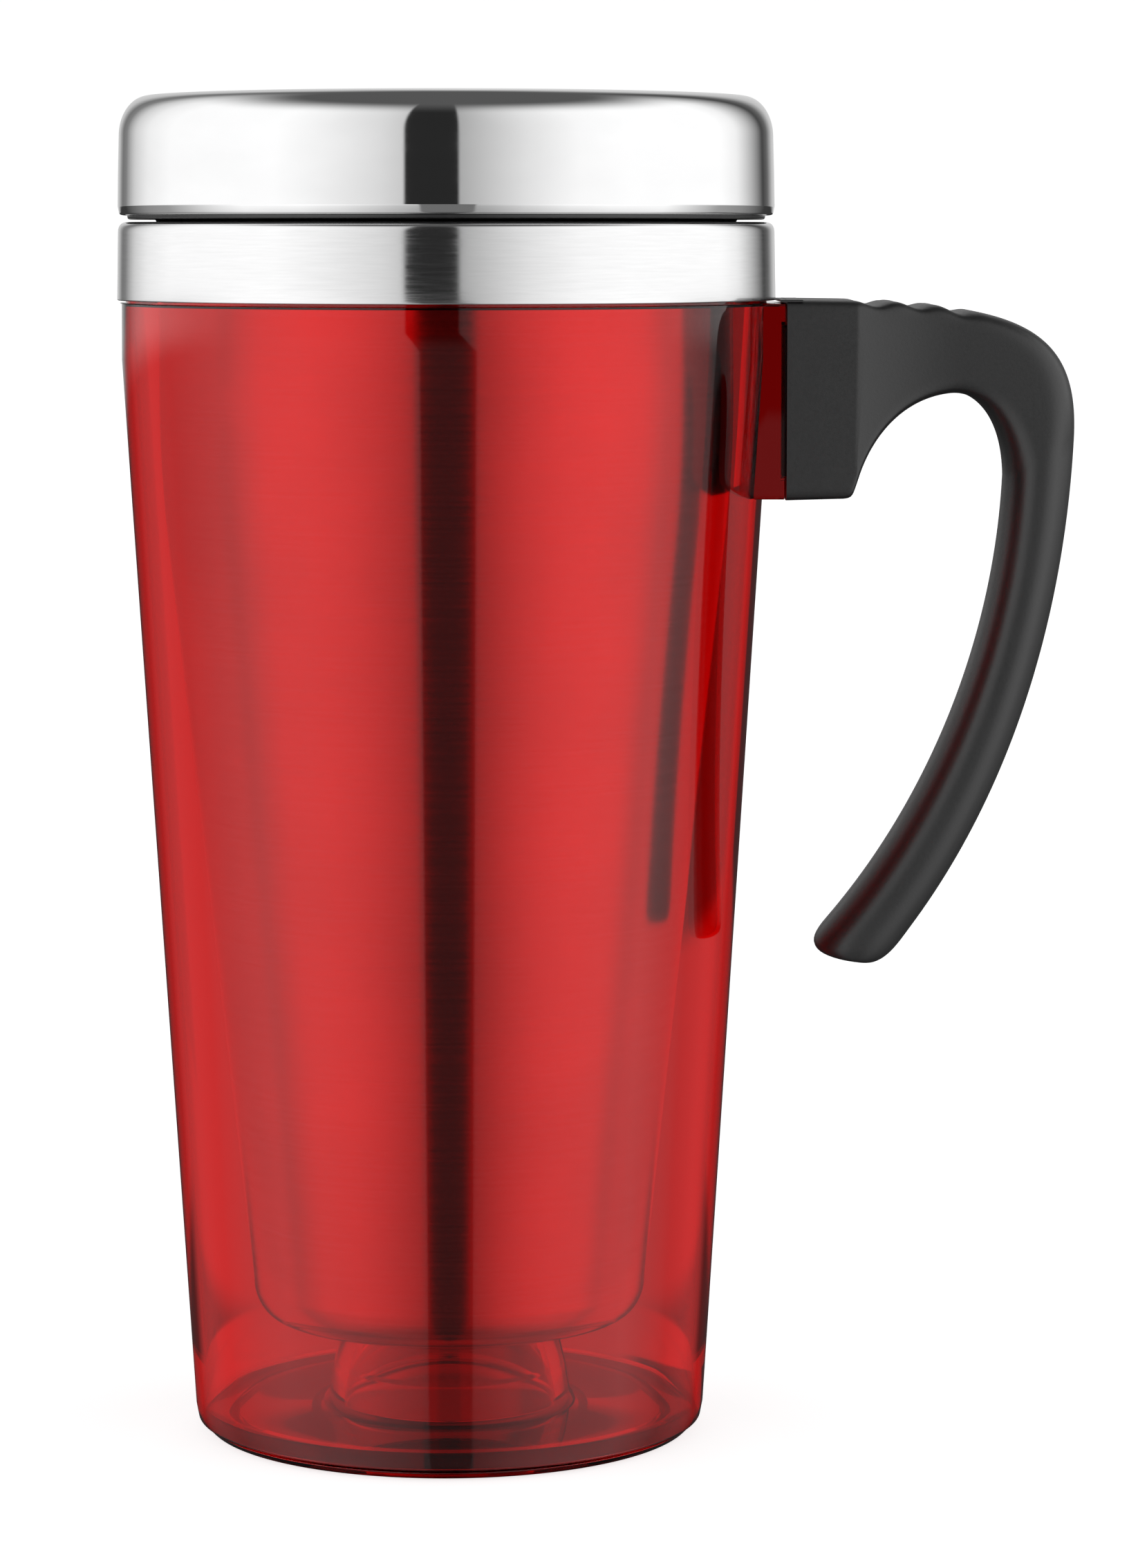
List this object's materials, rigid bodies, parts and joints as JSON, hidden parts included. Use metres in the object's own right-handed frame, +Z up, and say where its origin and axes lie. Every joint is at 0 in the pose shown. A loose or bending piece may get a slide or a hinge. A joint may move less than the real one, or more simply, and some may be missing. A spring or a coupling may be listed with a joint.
{
  "type": "insulated travel mug",
  "caption": "Tapered travel mug: steel liner in a translucent red shell, steel collar, open black side handle and a push-in steel-capped lid with a sliding drink shutter.",
  "frame": {"origin": "centre of the underside, on the mug's axis, in the plane it stands on", "axes": "+Z up along the mug's axis, +X towards the handle, -Y towards the lid's drink hole"},
  "size_m": [0.1237, 0.085, 0.174],
  "materials": {
    "red_translucent": "clear gloss moulded plastic, see-through red",
    "satin_steel": "satin, finely brushed round the mug",
    "polished_steel": "mirror polished stainless sheet",
    "drawn_steel": "bright drawn stainless sheet",
    "black_plastic": "matte with a fine moulded grain",
    "lid_plastic": "smooth satin moulding",
    "silicone": "matte translucent grey",
    "foam": "beaded insulating foam"
  },
  "bodies": {
    "mug": {"outer_shell": "red_translucent", "base_plate": "red_translucent", "base_cushion": "silicone", "inner_liner": "drawn_steel", "liner_seal": "silicone", "steel_collar": "satin_steel", "handle_front_half": "black_plastic", "handle_back_half": "black_plastic"},
    "gasket": {"lid_gasket": "silicone"},
    "lid": {"lid_cover": "polished_steel", "lid_body": "lid_plastic", "lid_bottom": "lid_plastic", "lid_insulation": "foam"},
    "shutter": {"slider": "lid_plastic", "slider_seal": "silicone", "slider_clip": "lid_plastic", "slider_screw": "drawn_steel"}
  },
  "joints": [
    {"name": "lid_lift", "type": "slide", "parent": "mug", "child": "gasket", "axis": [0, 0, 1], "range_m": [0, 0.05]},
    {"name": "lid_turn", "type": "hinge", "parent": "gasket", "child": "lid", "pos_m": [0, 0, 0.15], "axis": [0, 0, 1], "continuous": true},
    {"name": "shutter_slide", "type": "slide", "parent": "lid", "child": "shutter", "axis": [0, 1, 0], "range_m": [0, 0.012]}
  ]
}
